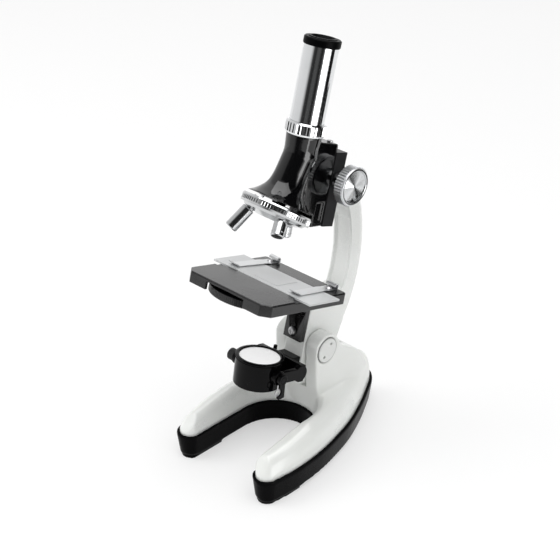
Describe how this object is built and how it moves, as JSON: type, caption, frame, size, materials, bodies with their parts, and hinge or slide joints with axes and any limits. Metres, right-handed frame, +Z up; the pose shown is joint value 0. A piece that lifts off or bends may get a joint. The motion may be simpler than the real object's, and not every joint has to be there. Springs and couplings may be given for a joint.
{
  "type": "microscope",
  "caption": "Upright student microscope: horseshoe base, tilting bow arm, rack-focused head with turning inclined nosepiece, square stage with slide and clips, flip-over mirror lamp.",
  "frame": {"origin": "On the ground plane, under the middle of the base outline.", "axes": "+Z up; +X to the microscope's left as it faces the user from the open side of the horseshoe, along the tilt pin and the focus shaft; the open side faces -Y and the arm stands towards +Y."},
  "size_m": [0.0842, 0.1343, 0.2552],
  "materials": {
    "white_paint": "gloss enamel",
    "black_tray": "moulded gloss",
    "black_gloss": "moulded gloss",
    "black_enamel": "satin enamel",
    "matte_black": "matt",
    "chrome": "polished plating",
    "steel": "turned",
    "clear_glass": "polished",
    "mirror": "silvered",
    "lamp_white": "frosted"
  },
  "bodies": {
    "base": {"base_casting": "white_paint", "base_tray": "black_tray", "tray_screws": "steel", "tilt_pin": "steel", "tilt_nut_right": "white_paint", "tilt_nut_left": "white_paint"},
    "arm_and_stage": {"arm": "white_paint", "focus_guide": "black_gloss", "guide_screws": "steel", "stage": "black_enamel", "stage_screw": "steel", "clip_rivet_right": "steel", "clip_rivet_left": "steel", "wheel_screw": "steel", "lamp_yoke": "black_gloss", "yoke_screw": "steel"},
    "head": {"head_housing": "black_gloss", "housing_screw": "steel", "focus_rack": "steel", "tube_collar": "chrome", "body_tube": "chrome", "click_spring": "steel", "nosepiece_screw": "steel"},
    "focus_knobs": {"pinion_shaft": "steel", "focus_knob_right": "chrome", "focus_knob_left": "chrome"},
    "eyepiece": {"eyepiece_body": "black_gloss", "eye_lens": "clear_glass", "field_lens": "clear_glass"},
    "nosepiece": {"nosepiece_ring": "chrome", "nosepiece_cap": "chrome", "objective_low": "chrome", "objective_mid": "chrome", "objective_high": "chrome", "objective_cells": "matte_black", "objective_lenses": "clear_glass"},
    "right_clip": {"clip_right": "chrome"},
    "left_clip": {"clip_left": "chrome"},
    "wheel": {"aperture_wheel": "matte_black"},
    "specimen": {"glass_slide": "clear_glass", "cover_glass": "clear_glass"},
    "lamp": {"lamp_drum": "black_gloss", "lamp_mirror": "mirror", "lamp_lens": "clear_glass", "lamp_led": "lamp_white", "lamp_cells": "steel", "lamp_knob": "matte_black", "lamp_lever": "black_gloss", "lamp_spring": "steel"}
  },
  "joints": [
    {"name": "arm_tilt", "type": "hinge", "parent": "base", "child": "arm_and_stage", "pos_m": [0, 0.0088, 0.0641], "axis": [-1, 0, 0], "range_deg": [-15.5, 29.5]},
    {"name": "focus_travel", "type": "slide", "parent": "arm_and_stage", "child": "head", "axis": [0, 0.2672, 0.9636], "range_m": [-0.016, 0.008]},
    {"name": "focus_turn", "type": "hinge", "parent": "arm_and_stage", "child": "focus_knobs", "pos_m": [0, 0.02286, 0.16906], "axis": [1, 0, 0], "range_deg": [-152.9, 305.7]},
    {"name": "eyepiece_draw", "type": "slide", "parent": "head", "child": "eyepiece", "axis": [0, 0.2672, 0.9636], "range_m": [0, 0.012]},
    {"name": "nosepiece_turn", "type": "hinge", "parent": "head", "child": "nosepiece", "pos_m": [0, 0.00199, 0.18886], "axis": [0, 0.585, 0.8111], "continuous": true},
    {"name": "right_clip_swing", "type": "hinge", "parent": "arm_and_stage", "child": "right_clip", "pos_m": [0.023, 0.00174, 0.11198], "axis": [0, 0.2672, 0.9636], "range_deg": [-12, 60]},
    {"name": "left_clip_swing", "type": "hinge", "parent": "arm_and_stage", "child": "left_clip", "pos_m": [-0.023, 0.00174, 0.11198], "axis": [0, 0.2672, 0.9636], "range_deg": [-55, 17]},
    {"name": "wheel_turn", "type": "hinge", "parent": "arm_and_stage", "child": "wheel", "pos_m": [0, -0.03593, 0.11386], "axis": [0, 0.2672, 0.9636], "continuous": true},
    {"name": "slide_shift", "type": "slide", "parent": "arm_and_stage", "child": "specimen", "axis": [1, 0, 0], "range_m": [-0.008, 0.008]},
    {"name": "lamp_flip", "type": "hinge", "parent": "arm_and_stage", "child": "lamp", "pos_m": [0, -0.03267, 0.06387], "axis": [1, 0, 0], "range_deg": [-25, 175]}
  ],
  "couplings": [
    {"joint": "focus_turn", "follows": "focus_travel", "rad_per_m": -333.33}
  ]
}
